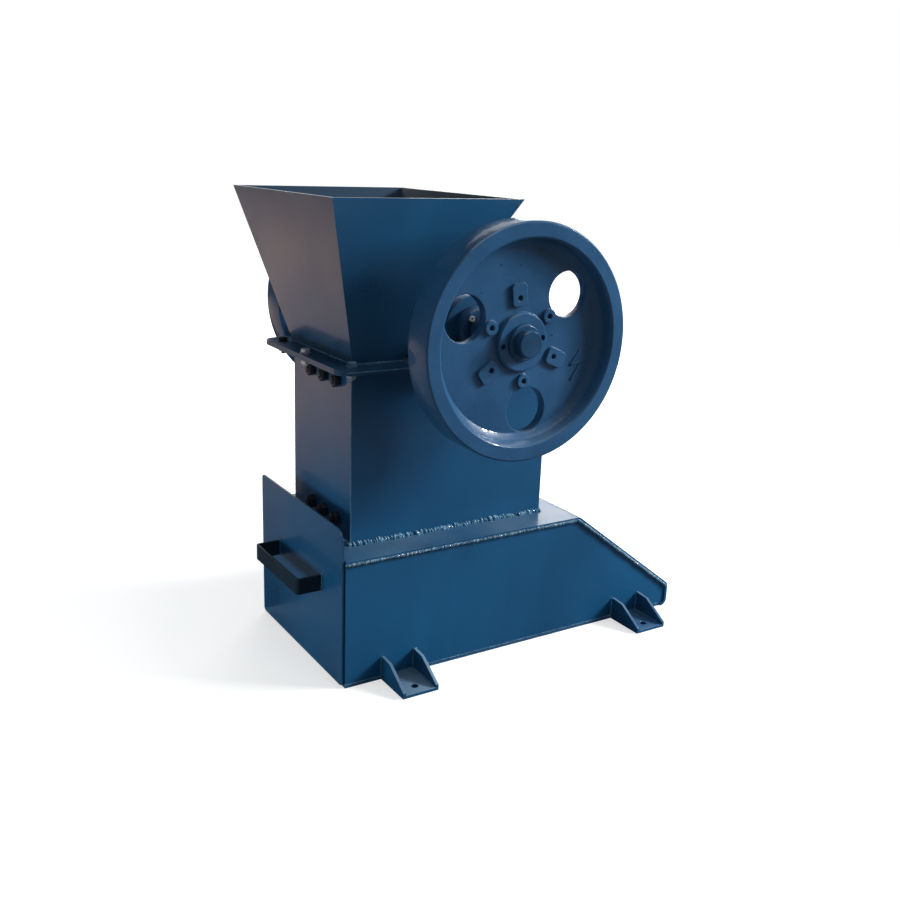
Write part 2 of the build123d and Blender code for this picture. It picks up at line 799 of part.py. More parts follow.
def make_pieces():
    pieces = {
        "base_top_plate": make_base_top_plate(),
        "base_slope_cover": make_base_slope_cover(),
        "base_floor": make_base_floor(),
        "front_wall": make_front_wall(),
        "rear_wall": make_rear_wall(),
        "body_flange": make_body_flange(),
        "hopper_flange": make_hopper_flange(),
        "fixed_jaw_plate": make_fixed_jaw_plate(),
        "swing_jaw": make_swing_jaw(),
        "swing_jaw_plate": make_swing_jaw_plate(),
        "toggle_seat": make_toggle_seat(),
        "toggle_plate": make_toggle_plate(),
        "tension_rod": make_tension_rod(),
        "tension_spring": make_tension_spring(),
        "spring_washers": make_spring_washers(),
        "tension_nut": make_tension_nut(),
        "eccentric_shaft": make_eccentric_shaft(),
        "drawer_front": make_drawer_front(),
        "drawer_tray": make_drawer_tray(),
        "drawer_handle": make_drawer_handle(),
    }
    hopper = make_hopper_plates()
    for name, plate in zip(("hopper_front", "hopper_rear", "hopper_left", "hopper_right"), hopper):
        pieces[name] = plate
    paired = {
        "base_side": make_base_side(),
        "foot_front": make_foot(-1),
        "foot_rear": make_foot(1),
        "side_plate": make_side_plate(),
        "cheek_plate": make_cheek_plate(),
        "pillow_block": make_pillow_block(),
        "bearing_cap": make_bearing_cap(),
        "flywheel": make_flywheel(),
        "collar": make_collar(),
    }
    for name, piece in paired.items():
        pieces[name + "_right"] = piece
        pieces[name + "_left"] = mirrored(piece)
    return pieces


os.makedirs("parts", exist_ok=True)
for name, piece in make_pieces().items():
    export_step(piece, "parts/" + name + ".step")
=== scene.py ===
"""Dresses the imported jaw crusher: enamel paint, castings, fasteners, weld beads and a plain studio."""

import math
import random

import bmesh
import bpy
import numpy as np
from mathutils import Matrix, Quaternion, Vector


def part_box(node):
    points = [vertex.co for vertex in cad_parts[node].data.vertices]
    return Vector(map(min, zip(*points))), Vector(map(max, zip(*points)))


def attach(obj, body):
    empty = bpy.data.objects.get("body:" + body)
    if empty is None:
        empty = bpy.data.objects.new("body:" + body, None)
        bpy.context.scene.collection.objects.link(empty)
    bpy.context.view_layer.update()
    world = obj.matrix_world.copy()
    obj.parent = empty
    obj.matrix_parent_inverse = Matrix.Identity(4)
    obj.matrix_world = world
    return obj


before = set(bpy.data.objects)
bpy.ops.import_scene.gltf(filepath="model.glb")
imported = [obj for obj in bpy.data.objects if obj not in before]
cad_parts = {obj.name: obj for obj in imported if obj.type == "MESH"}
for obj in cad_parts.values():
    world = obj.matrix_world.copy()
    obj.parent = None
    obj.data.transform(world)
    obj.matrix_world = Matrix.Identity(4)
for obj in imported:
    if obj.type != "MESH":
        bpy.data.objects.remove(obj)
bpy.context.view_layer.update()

bl_info = {
    "name": "Jaw Crusher Dressing",
    "version": (1, 0, 0),
    "blender": (4, 5, 0),
    "location": "3D View > Sidebar > Crusher",
    "description": "Adds the finishes, fasteners, weld beads and studio of a small jaw crusher",
    "category": "Object",
}

MM = 0.001

# Sizes of washers, nuts and bolt heads, as shares of the thread's diameter
WASHER_HEIGHT = 0.18
NUT_FLATS, NUT_HEIGHT = 1.58, 0.8
HEAD_FLATS, HEAD_HEIGHT = 1.6, 0.65

# How deep the grain of a finish goes
ENAMEL_DEPTH, STEEL_DEPTH, CAST_DEPTH = 0.6 * MM, 0.3 * MM, 0.4 * MM
DUST_COLOUR, RUST_COLOUR = (0.34, 0.46, 0.52), (0.16, 0.055, 0.02)

SIDES = (("left", -1), ("right", 1))


# Settings a user would change

class CrusherPaint(bpy.types.PropertyGroup):
    """Colours and wear of the enamel."""

    plate_colour: bpy.props.FloatVectorProperty(
        name="Plate colour", description="Enamel on the rolled plates",
        subtype="COLOR", size=3, min=0, max=1, default=(0.007, 0.080, 0.185))
    casting_colour: bpy.props.FloatVectorProperty(
        name="Casting colour", description="Enamel on the wheels and bearing housings",
        subtype="COLOR", size=3, min=0, max=1, default=(0.020, 0.086, 0.190))
    deep_colour: bpy.props.FloatVectorProperty(
        name="Deep colour", description="Where the enamel lies thin or dark",
        subtype="COLOR", size=3, min=0, max=1, default=(0.008, 0.046, 0.110))
    roughness: bpy.props.FloatProperty(
        name="Roughness", description="Blur of the reflections in the enamel",
        subtype="FACTOR", min=0, max=1, default=0.30)
    edge_width: bpy.props.FloatProperty(
        name="Edge width", description="Rounding that the paint leaves on a sheared edge",
        unit="LENGTH", min=0, default=0.7 * MM)


class CrusherWelds(bpy.types.PropertyGroup):
    """Sizes of the weld beads."""

    body_bead: bpy.props.FloatProperty(
        name="Body bead", description="Radius of the coarse bead round the body's foot",
        unit="LENGTH", min=0, default=4.9 * MM)
    seam_bead: bpy.props.FloatProperty(
        name="Seam bead", description="Radius of the beads on flanges, cover and feet",
        unit="LENGTH", min=0, default=2.1 * MM)
    pitch_share: bpy.props.FloatProperty(
        name="Pitch share", description="Distance between ripples as a share of the bead's radius",
        subtype="FACTOR", min=0.2, max=2, default=0.52)
    spatter: bpy.props.FloatProperty(
        name="Spatter", description="Drops of spatter for each ripple of a coarse bead",
        subtype="FACTOR", min=0, max=1, default=0.16)
    seed: bpy.props.IntProperty(
        name="Seed", description="Start of the welds' unevenness", default=7)


class CrusherBolts(bpy.types.PropertyGroup):
    """Thread sizes of the fasteners."""

    jaw_bolt: bpy.props.FloatProperty(
        name="Jaw bolt", description="Thread of the bolts that hold the fixed jaw",
        unit="LENGTH", min=0, default=12 * MM)
    flange_bolt: bpy.props.FloatProperty(
        name="Flange bolt", description="Thread of the bolts between the flanges",
        unit="LENGTH", min=0, default=8 * MM)
    bearing_bolt: bpy.props.FloatProperty(
        name="Bearing bolt", description="Thread of the bolts that hold the pillow blocks",
        unit="LENGTH", min=0, default=12 * MM)
    cap_screw: bpy.props.FloatProperty(
        name="Cap screw", description="Thread of the screws in the bearing caps",
        unit="LENGTH", min=0, default=5 * MM)


class CrusherStudio(bpy.types.PropertyGroup):
    """Floor, lamps and camera."""

    floor_colour: bpy.props.FloatVectorProperty(
        name="Floor colour", description="Pale warm floor that the paint mirrors",
        subtype="COLOR", size=3, min=0, max=1, default=(0.64, 0.44, 0.345))
    floor_size: bpy.props.FloatProperty(
        name="Floor size", description="Length of one side of the floor", unit="LENGTH", min=1, default=16.0)
    key_power: bpy.props.FloatProperty(
        name="Key power", description="Power of the soft lamp behind the wheel side in watts", min=0,
        default=232.0)
    top_power: bpy.props.FloatProperty(
        name="Top power", description="Power of the soft lamp overhead in watts", min=0, default=25.0)
    side_power: bpy.props.FloatProperty(
        name="Side power", description="Power of the soft lamp on the left side in watts", min=0,
        default=20.0)
    low_power: bpy.props.FloatProperty(
        name="Low power", description="Power of the small lamp near the floor, which lights the front's foot",
        min=0, default=1.2)
    rim_power: bpy.props.FloatProperty(
        name="Rim power", description="Power of the low lamp behind, which lights level plates and edges",
        min=0, default=80.0)
    sky_strength: bpy.props.FloatProperty(
        name="Sky strength", description="Strength of the even light from all round", min=0, default=0.34)


# Mesh helpers

def closed_mesh(name, parts):
    """Turns a bmesh into a mesh and frees it."""
    mesh = bpy.data.meshes.new(name)
    parts.to_mesh(mesh)
    parts.free()
    return mesh


def place_mesh(name, mesh, material):
    """An object that shows a mesh in one material."""
    mesh.materials.append(material)
    item = bpy.data.objects.new(name, mesh)
    bpy.context.scene.collection.objects.link(item)
    return item


def show_piece(name, mesh, body, material, sharp_degrees=40):
    """Makes a mesh a shown piece that rides on a body."""
    for polygon in mesh.polygons:
        polygon.use_smooth = True
    mesh.set_sharp_from_angle(angle=math.radians(sharp_degrees))
    piece = place_mesh(name, mesh, material)
    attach(piece, body)
    return piece


def finish_piece(name, parts, body, material, sharp_degrees=40):
    """Turns a bmesh into a shown piece."""
    bmesh.ops.recalc_face_normals(parts, faces=parts.faces)
    return show_piece(name, closed_mesh(name, parts), body, material, sharp_degrees)


def facing(place, axis):
    """A matrix that turns +Z to an axis and moves to a place."""
    turn = Vector(axis).to_track_quat("Z", "Y").to_matrix().to_4x4()
    return Matrix.Translation(Vector(place)) @ turn


def around(x, centre, reach, degrees):
    """A place at a reach and an angle about a centre on the shaft."""
    angle = math.radians(degrees)
    return (x, centre.y + reach * math.cos(angle), centre.z + reach * math.sin(angle))


def add_hexagon(parts, matrix, across_flats, height):
    """A hexagon head or nut that stands on its face, with both rims chamfered."""
    radius = across_flats / math.sqrt(3)
    made = bmesh.ops.create_cone(
        parts, cap_ends=True, segments=6, radius1=radius, radius2=radius, depth=height,
        matrix=matrix @ Matrix.Translation((0, 0, height / 2)))
    rims = [e for e in {e for v in made["verts"] for e in v.link_edges}
            if any(len(f.verts) == 6 for f in e.link_faces)]
    bmesh.ops.bevel(
        parts, geom=rims, offset=0.07 * across_flats, offset_type="OFFSET", affect="EDGES",
        segments=2, profile=0.5, material=-1)


def add_lathed(parts, matrix, outline, steps=24):
    """A body turned about the matrix's Z axis, from (radius, height) points."""
    rows = [parts.verts.new(matrix @ Vector((radius, 0, height))) for radius, height in outline]
    edges = [parts.edges.new(pair) for pair in zip(rows, rows[1:])]
    bmesh.ops.spin(
        parts, geom=rows + edges, cent=matrix.translation, axis=matrix.to_3x3() @ Vector((0, 0, 1)),
        angle=2 * math.pi, steps=steps, use_merge=True)


def add_stud(parts, matrix, thread, length):
    """The end of a threaded stud, with its crests as rings."""
    pitch = 0.14 * thread
    crests = int(length / pitch)
    outline = [(0.5 * thread - 0.6 * pitch, 0)]
    for index in range(crests):
        outline.append((0.5 * thread, (index + 0.5) * pitch))
        outline.append((0.5 * thread - 0.6 * pitch, (index + 1) * pitch))
    outline.append((0.36 * thread, crests * pitch + 0.4 * pitch))
    outline.append((0.0001 * thread, crests * pitch + 0.4 * pitch))
    add_lathed(parts, matrix, outline, 18)


def add_washer(parts, matrix, thread):
    """A washer that lies on its face, with its outer rims eased."""
    inner, outer, height = 0.5 * thread, thread, WASHER_HEIGHT * thread
    ease = 0.25 * height
    add_lathed(parts, matrix, [
        (inner, 0), (outer - ease, 0), (outer, ease), (outer, height - ease), (outer - ease, height),
        (inner, height), (inner, 0)])


def add_nut_on_stud(parts, place, axis, thread, stud_out, washer=True):
    """A nut and the stud's end, standing on a face, with or without a washer."""
    matrix = facing(place, axis)
    if washer:
        add_washer(parts, matrix, thread)
        matrix = matrix @ Matrix.Translation((0, 0, WASHER_HEIGHT * thread))
    add_hexagon(parts, matrix, NUT_FLATS * thread, NUT_HEIGHT * thread)
    add_stud(parts, matrix @ Matrix.Translation((0, 0, NUT_HEIGHT * thread)), thread, stud_out)


def add_bolt_head(parts, place, axis, thread):
    """A washer and a hexagon head, standing on a face."""
    matrix = facing(place, axis)
    add_washer(parts, matrix, thread)
    raised = matrix @ Matrix.Translation((0, 0, WASHER_HEIGHT * thread))
    add_hexagon(parts, raised, HEAD_FLATS * thread, HEAD_HEIGHT * thread)


def bead(ripples, line, radius, pitch_share, chance, unevenness, spatter=0.0, spread=None):
    """Adds the places of overlapping ripples of weld metal along a line, with drops of spatter."""
    for start, end in zip(line, line[1:]):
        start, end = Vector(start), Vector(end)
        run = end - start
        count = max(2, int(run.length / (radius * pitch_share)))
        turn = run.to_track_quat("Z", "Y")
        for index in range(count + 1):
            swell = radius * chance.uniform(1 - unevenness, 1 + unevenness)
            offset = Vector([chance.uniform(-1, 1) * unevenness * radius * 0.6 for _ in range(3)])
            lean = Quaternion((chance.uniform(-1, 1), chance.uniform(-1, 1), 0), chance.uniform(0, 0.5))
            centre = start + run * (index / count)
            width, height = chance.uniform(0.8, 1.15), chance.uniform(0.45, 0.75)
            shape = Matrix.Diagonal((swell * width, swell, swell * height, 1))
            ripples.append(Matrix.Translation(centre + offset) @ (turn @ lean).to_matrix().to_4x4() @ shape)
            if spread and chance.random() < spatter:
                away = Vector([chance.uniform(0.2, 1) * reach for reach in spread])
                drop = Matrix.Scale(radius * chance.uniform(0.12, 0.3), 4)
                ripples.append(Matrix.Translation(centre + away) @ drop)


def weld_piece(name, ripples, body="fixed_frame", finish="bead"):
    """One joined mesh of all ripples, each a ball of a few dozen faces."""
    ball = bmesh.new()
    bmesh.ops.create_uvsphere(ball, u_segments=8, v_segments=5, radius=1)
    corners = np.array([(*v.co, 1) for v in ball.verts])
    faces = [[v.index for v in face.verts] for face in ball.faces]
    ball.free()
    points = np.einsum("rij,pj->rpi", np.array(ripples), corners)[:, :, :3].reshape(-1, 3)
    joined = [[index + first for index in face]
              for first in range(0, len(points), len(corners)) for face in faces]
    mesh = bpy.data.meshes.new(name)
    mesh.from_pydata(points.tolist(), [], joined)
    return show_piece(name, mesh, body, FINISH[finish], 180)


def level_box(node, height, reach=1.5 * MM):
    """Lowest and highest x and y of a node's corners near a height."""
    near = [v.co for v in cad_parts[node].data.vertices if abs(v.co.z - height) < reach]
    return (min(c.x for c in near), max(c.x for c in near), min(c.y for c in near), max(c.y for c in near))


def rectangle(x_low, x_high, y_low, y_high, z):
    """A closed line round a level rectangle."""
    return [(x_low, y_low, z), (x_high, y_low, z), (x_high, y_high, z), (x_low, y_high, z), (x_low, y_low, z)]


# Shader helpers

def add_node(tree, kind, sockets=None, **settings):
    """A shader node with its settings and its plain socket values."""
    node = tree.nodes.new(kind)
    for name, value in settings.items():
        setattr(node, name, value)
    for name, value in (sockets or {}).items():
        node.inputs[name].default_value = value
    return node


def start_group(name, inputs, outputs):
    """A node group with named sockets; inputs give their kind and default."""
    group = bpy.data.node_groups.new(name, "ShaderNodeTree")
    for socket, (kind, default) in inputs.items():
        made = group.interface.new_socket(name=socket, in_out="INPUT", socket_type=kind)
        made.default_value = default
    for socket, kind in outputs.items():
        group.interface.new_socket(name=socket, in_out="OUTPUT", socket_type=kind)
    return group, group.nodes.new("NodeGroupInput"), group.nodes.new("NodeGroupOutput")


def noise(tree, vector, scale, detail=3.0, roughness=0.55):
    """A noise texture; scale may be a number or a socket."""
    node = add_node(tree, "ShaderNodeTexNoise", {"Detail": detail, "Roughness": roughness})
    tree.links.new(vector, node.inputs["Vector"])
    if isinstance(scale, (int, float)):
        node.inputs["Scale"].default_value = scale
    else:
        tree.links.new(scale, node.inputs["Scale"])
    return node.outputs["Fac"]


def ramp(tree, value, low, high, to_low=0.0, to_high=1.0):
    """Maps a value's range to another, clamped."""
    ends = {"From Min": low, "From Max": high, "To Min": to_low, "To Max": to_high}
    node = add_node(tree, "ShaderNodeMapRange", ends, clamp=True)
    tree.links.new(value, node.inputs["Value"])
    return node.outputs["Result"]


def maths(tree, operation, first, second=None):
    """What an operation makes of one or two sockets or numbers."""
    node = add_node(tree, "ShaderNodeMath", operation=operation)
    for socket, value in zip(node.inputs, (first, second)):
        if value is None:
            continue
        if isinstance(value, (int, float)):
            socket.default_value = value
        else:
            tree.links.new(value, socket)
    return node.outputs[0]


def mixed(tree, factor, first, second):
    """Mixes two colours."""
    node = add_node(tree, "ShaderNodeMix", data_type="RGBA")
    for socket, value in ((node.inputs[0], factor), (node.inputs[6], first), (node.inputs[7], second)):
        if hasattr(value, "links"):
            tree.links.new(value, socket)
        elif isinstance(value, (int, float)):
            socket.default_value = value
        else:
            socket.default_value = (*value, 1)[:4]
    return node.outputs[2]


def object_place(tree):
    """Where the shaded spot lies on its object."""
    return add_node(tree, "ShaderNodeTexCoord").outputs["Object"]


def drawn_out(tree, place, scale):
    """The place with each axis scaled, so that a texture on it is drawn out along the smallest."""
    node = add_node(tree, "ShaderNodeMapping", {"Scale": scale})
    tree.links.new(place, node.inputs["Vector"])
    return node.outputs["Vector"]


def facing_up(tree):
    """One on a level face, nothing on an upright one."""
    axes = add_node(tree, "ShaderNodeSeparateXYZ")
    tree.links.new(add_node(tree, "ShaderNodeNewGeometry").outputs["Normal"], axes.inputs[0])
    return axes.outputs["Z"]


def enamel_group():
    """Brushed and sprayed enamel: cloudy tone, orange peel, dust on level faces and dull patches."""
    tree, given, out = start_group(
        "Enamel film",
        {"Colour": ("NodeSocketColor", (0, 0, 0, 1)), "Deep": ("NodeSocketColor", (0, 0, 0, 1)),
         "Roughness": ("NodeSocketFloat", 0.2), "Clouds": ("NodeSocketFloat", 4.0),
         "Peel": ("NodeSocketFloat", 0.1), "Grain": ("NodeSocketFloat", 0.0),
         "Wave": ("NodeSocketFloat", 0.3), "Dust": ("NodeSocketFloat", 0.1)},
        {"Colour": "NodeSocketColor", "Roughness": "NodeSocketFloat", "Coat": "NodeSocketFloat",
         "Height": "NodeSocketFloat"})
    place = object_place(tree)
    cloud = noise(tree, place, given.outputs["Clouds"], 3.0)
    streak = noise(tree, drawn_out(tree, place, (5, 5, 1.6)), 2.6, 2.0)
    tone = maths(tree, "ADD", ramp(tree, cloud, 0.3, 0.7, 0, 0.7), ramp(tree, streak, 0.3, 0.75, 0, 0.3))
    base = mixed(tree, tone, given.outputs["Deep"], given.outputs["Colour"])
    fleck = ramp(tree, noise(tree, place, 700.0, 2.0), 0.66, 0.74)
    level = ramp(tree, facing_up(tree), 0.6, 0.95)
    patch = ramp(tree, noise(tree, place, 6.0, 2.0, 0.45), 0.3, 0.75)
    dust = maths(tree, "MULTIPLY", maths(tree, "MULTIPLY", level, patch), given.outputs["Dust"])
    specks = maths(tree, "MULTIPLY", fleck, maths(tree, "MULTIPLY", given.outputs["Dust"], 0.5))
    dust = maths(tree, "ADD", dust, specks)
    tree.links.new(mixed(tree, dust, base, DUST_COLOUR), out.inputs["Colour"])
    blur = maths(tree, "ADD", given.outputs["Roughness"], ramp(tree, patch, 0, 1, -0.03, 0.09))
    blur = maths(tree, "ADD", blur, maths(tree, "MULTIPLY", dust, 0.5))
    tree.links.new(blur, out.inputs["Roughness"])
    tree.links.new(ramp(tree, patch, 0, 1, 0.55, 0.25), out.inputs["Coat"])
    peel = maths(tree, "MULTIPLY", noise(tree, place, 420.0, 1.0), given.outputs["Peel"])
    grain = maths(tree, "MULTIPLY", noise(tree, place, 190.0, 5.0, 0.65), given.outputs["Grain"])
    wave = maths(tree, "MULTIPLY", noise(tree, place, 7.0, 1.0, 0.3), given.outputs["Wave"])
    tree.links.new(maths(tree, "ADD", maths(tree, "ADD", peel, grain), wave), out.inputs["Height"])


def steel_group():
    """Bare steel: tone, scratches and light rust in patches."""
    tree, given, out = start_group(
        "Bare steel",
        {"Colour": ("NodeSocketColor", (0.5, 0.5, 0.5, 1)), "Dark": ("NodeSocketColor", (0.1, 0.1, 0.1, 1)),
         "Roughness": ("NodeSocketFloat", 0.35), "Rust": ("NodeSocketFloat", 0.1),
         "Stretch": ("NodeSocketVector", (1, 1, 1)), "Lines": ("NodeSocketFloat", 200.0),
         "Pits": ("NodeSocketFloat", 0.1)},
        {"Colour": "NodeSocketColor", "Roughness": "NodeSocketFloat", "Metal": "NodeSocketFloat",
         "Height": "NodeSocketFloat"})
    place = object_place(tree)
    stretched = add_node(tree, "ShaderNodeVectorMath", operation="MULTIPLY")
    tree.links.new(place, stretched.inputs[0])
    tree.links.new(given.outputs["Stretch"], stretched.inputs[1])
    lines = noise(tree, stretched.outputs["Vector"], given.outputs["Lines"], 4.0)
    cloud = noise(tree, place, 30.0, 6.0)
    tone = maths(tree, "ADD", ramp(tree, lines, 0.3, 0.7, 0, 0.6), ramp(tree, cloud, 0.35, 0.65, 0, 0.4))
    base = mixed(tree, tone, given.outputs["Dark"], given.outputs["Colour"])
    patches = ramp(tree, noise(tree, place, 55.0, 8.0, 0.7), 0.5, 0.68)
    rust = maths(tree, "MULTIPLY", patches, given.outputs["Rust"])
    tree.links.new(mixed(tree, rust, base, RUST_COLOUR), out.inputs["Colour"])
    blur = maths(tree, "ADD", given.outputs["Roughness"], ramp(tree, cloud, 0.3, 0.7, -0.06, 0.14))
    tree.links.new(maths(tree, "ADD", blur, maths(tree, "MULTIPLY", rust, 0.45)), out.inputs["Roughness"])
    tree.links.new(maths(tree, "SUBTRACT", 1.0, rust), out.inputs["Metal"])
    pits = maths(tree, "MULTIPLY", noise(tree, place, 260.0, 5.0, 0.7), given.outputs["Pits"])
    tree.links.new(maths(tree, "ADD", maths(tree, "MULTIPLY", lines, 0.25), pits), out.inputs["Height"])


def start_material(name, group, values, bump_distance, soft_edge=0.0):
    """A material with a group feeding its Principled shader through a bump, and rounded-looking edges."""
    material = bpy.data.materials.new(name)
    material.use_nodes = True
    tree = material.node_tree
    shader = tree.nodes["Principled BSDF"]
    effect = add_node(tree, "ShaderNodeGroup", node_tree=bpy.data.node_groups[group])
    for socket, value in values.items():
        effect.inputs[socket].default_value = value
    bump = add_node(tree, "ShaderNodeBump", {"Strength": 1.0, "Distance": bump_distance})
    tree.links.new(effect.outputs["Colour"], shader.inputs["Base Color"])
    tree.links.new(effect.outputs["Roughness"], shader.inputs["Roughness"])
    tree.links.new(effect.outputs["Height"], bump.inputs["Height"])
    tree.links.new(bump.outputs["Normal"], shader.inputs["Normal"])
    if soft_edge:
        rounded = add_node(tree, "ShaderNodeBevel", {"Radius": soft_edge}, samples=6)
        tree.links.new(rounded.outputs["Normal"], bump.inputs["Normal"])
    return material, shader, effect, tree


def enamel(name, colour, deep, soft_edge=0.0, gloss=0.5, **values):
    """A painted finish."""
    settings = {"Colour": (*colour, 1), "Deep": (*deep, 1), **values}
    material, shader, effect, tree = start_material(name, "Enamel film", settings, ENAMEL_DEPTH, soft_edge)
    if gloss >= 0.5:
        tree.links.new(effect.outputs["Coat"], shader.inputs["Coat Weight"])
    shader.inputs["Coat Roughness"].default_value = 0.09
    shader.inputs["Coat IOR"].default_value = 1.45
    shader.inputs["Specular IOR Level"].default_value = gloss
    return material


def cover(tree, mask, colour, dulling):
    """Lays a colour over the finish where the mask is one, and dulls it there."""
    shader = tree.nodes["Principled BSDF"]
    base = shader.inputs["Base Color"].links[0].from_socket
    blur = shader.inputs["Roughness"].links[0].from_socket
    tree.links.new(mixed(tree, mask, base, colour), shader.inputs["Base Color"])
    dulled = maths(tree, "ADD", blur, maths(tree, "MULTIPLY", mask, dulling))
    tree.links.new(dulled, shader.inputs["Roughness"])


def funnel_enamel_with_painted_shade(name, colour, deep, **values):
    """The painted finish, with painted shade darkening the sloping faces inside a funnel."""
    material = enamel(name, colour, deep, **values)
    tree = material.node_tree
    up = facing_up(tree)
    not_upright, not_level = ramp(tree, up, 0.1, 0.2), ramp(tree, up, 0.8, 0.9, 0.75, 0)
    # Painted shade: faces that slope up inside the hopper are darkened and dulled, standing in for the shade
    # that falls in it.
    cover(tree, maths(tree, "MULTIPLY", not_upright, not_level), (0.002, 0.012, 0.022), 0.4)
    return material


def scuffed_enamel(name, colour, deep, **values):
    """The painted finish, scuffed through to grey steel by sliding stone."""
    material = enamel(name, colour, deep, **values)
    tree = material.node_tree
    drawn = drawn_out(tree, object_place(tree), (9, 0.8, 9))
    scuffs = ramp(tree, noise(tree, drawn, 22.0, 6.0, 0.6), 0.56, 0.72, 0, 0.7)
    cover(tree, scuffs, (0.15, 0.17, 0.19), 0.15)
    return material


def steel(name, colour, dark, bare=1.0, **values):
    """A metal finish; bare tells how much of it shines as clean metal."""
    settings = {"Colour": (*colour, 1), "Dark": (*dark, 1), **values}
    material, shader, effect, tree = start_material(name, "Bare steel", settings, STEEL_DEPTH)
    tree.links.new(maths(tree, "MULTIPLY", effect.outputs["Metal"], bare), shader.inputs["Metallic"])
    return material


def toothed_steel(name, pitch):
    """Cast jaw steel whose tooth crests are worn bright."""
    settings = {"Colour": (0.30, 0.29, 0.28, 1), "Dark": (0.10, 0.095, 0.09, 1), "Roughness": 0.46,
                "Rust": 0.35, "Stretch": (1, 1, 0.2), "Lines": 150.0, "Pits": 0.6}
    material, shader, effect, tree = start_material(name, "Bare steel", settings, CAST_DEPTH)
    place = object_place(tree)
    axes = add_node(tree, "ShaderNodeSeparateXYZ")
    tree.links.new(place, axes.inputs[0])
    turn = maths(tree, "MULTIPLY", axes.outputs["X"], 2 * math.pi / pitch)
    crest = ramp(tree, maths(tree, "COSINE", turn), 0.72, 0.98)
    worn = maths(tree, "MULTIPLY", crest, ramp(tree, noise(tree, place, 60.0, 5.0), 0.3, 0.6))
    bright = mixed(tree, worn, effect.outputs["Colour"], (0.62, 0.61, 0.59))
    tree.links.new(bright, shader.inputs["Base Color"])
    tree.links.new(maths(tree, "MAXIMUM", effect.outputs["Metal"], worn), shader.inputs["Metallic"])
    return material


def finishes():
    """Makes every finish once and returns them by name."""
    paint = bpy.context.scene.crusher_paint
    enamel_group()
    steel_group()
    plate, casting, deep = paint.plate_colour, paint.casting_colour, paint.deep_colour
    rough = paint.roughness
    return {
        "plate": enamel("Enamel on plate", plate, deep,
                        Roughness=rough, Peel=0.05, Grain=0.02, Clouds=3.0, Wave=0.6, Dust=0.10),
        "casting": enamel("Enamel on casting", casting, deep, 2.4 * MM,
                          Roughness=rough + 0.04, Peel=0.08, Grain=0.45, Clouds=9.0, Wave=0.15, Dust=0.16),
        "turned": enamel("Enamel on turned steel", (0.014, 0.060, 0.130), (0.006, 0.028, 0.065), 0.8 * MM,
                         Roughness=rough, Peel=0.05, Grain=0.10, Clouds=22.0, Wave=0.0, Dust=0.10),
        "dark": enamel("Dark enamel on strip", (0.006, 0.022, 0.036), (0.003, 0.010, 0.018), gloss=0.22,
                       Roughness=rough + 0.08, Peel=0.05, Grain=0.05, Clouds=14.0, Wave=0.1, Dust=0.06),
        "dusty": enamel("Enamel on fastener", (0.20, 0.30, 0.36), plate, 0.5 * MM,
                        Roughness=0.22, Peel=0.2, Grain=0.4, Clouds=60.0, Wave=0.0, Dust=0.5),
        # Painted highlight: the corner knots of weld are painted near-white, standing in for the glints on
        # shiny weld metal.
        "painted_glint": enamel("Weld with painted glint", (0.92, 0.97, 1.00), (0.62, 0.72, 0.78),
                        Roughness=0.25, Peel=0.2, Grain=0.4, Clouds=60.0, Wave=0.0, Dust=0.2),
        "top": enamel("Enamel on level plate", plate, deep, 1.0 * MM,
                      Roughness=rough, Peel=0.5, Grain=0.6, Clouds=8.0, Wave=0.3, Dust=0.22),
        "foot": enamel("Enamel on foot", plate, deep, 1.0 * MM,
                       Roughness=rough, Peel=0.3, Grain=0.4, Clouds=8.0, Wave=0.3, Dust=0.50),
        # The hopper's enamel carries painted shade on its inner sloping faces.
        "hopper": funnel_enamel_with_painted_shade("Enamel on hopper with painted shade inside", tuple(c + 0.006 for c in plate), deep,
                                Roughness=rough, Peel=0.05, Grain=0.02, Clouds=3.0, Wave=0.6, Dust=0.10),
        # The beads' pale tone and heavy dust on their tops are partly real dust and partly a painted
        # highlight standing in for the glints of the weld metal.
        "bead": enamel("Enamel on weld with dust and painted glints", (0.09, 0.21, 0.31), plate,
                       Roughness=0.13, Peel=0.2, Grain=0.5, Clouds=60.0, Wave=0.0, Dust=0.6),
        "flange": enamel("Enamel on flange", tuple(0.7 * c for c in plate), deep,
                         Roughness=rough + 0.15, Peel=0.4, Grain=0.4, Clouds=9.0, Wave=0.3, Dust=0.03),
        "jaw": toothed_steel("Worn jaw steel", 21 * MM),
        "oiled": steel("Oiled steel", (0.32, 0.31, 0.30), (0.10, 0.10, 0.105),
                       Roughness=0.34, Rust=0.10, Pits=0.15, Lines=120.0),
        "spring": steel("Spring steel", (0.16, 0.16, 0.17), (0.05, 0.05, 0.055), 0.7,
                        Roughness=0.32, Rust=0.06, Pits=0.10, Lines=160.0),
        "tray": scuffed_enamel("Scuffed tray enamel", plate, deep,
                               Roughness=rough + 0.1, Peel=0.5, Grain=0.3, Wave=0.3, Dust=0.3),
        "black": steel("Blackened steel", (0.045, 0.055, 0.075), (0.020, 0.025, 0.035), 0.5,
                       Roughness=0.36, Rust=0.02, Pits=0.20, Lines=240.0),
        "zinc": steel("Zinc plate", (0.70, 0.71, 0.72), (0.42, 0.43, 0.45), 0.35,
                      Roughness=0.28, Rust=0.04, Pits=0.10, Lines=90.0),
    }


FINISH = {}


# Finishes on the CAD nodes

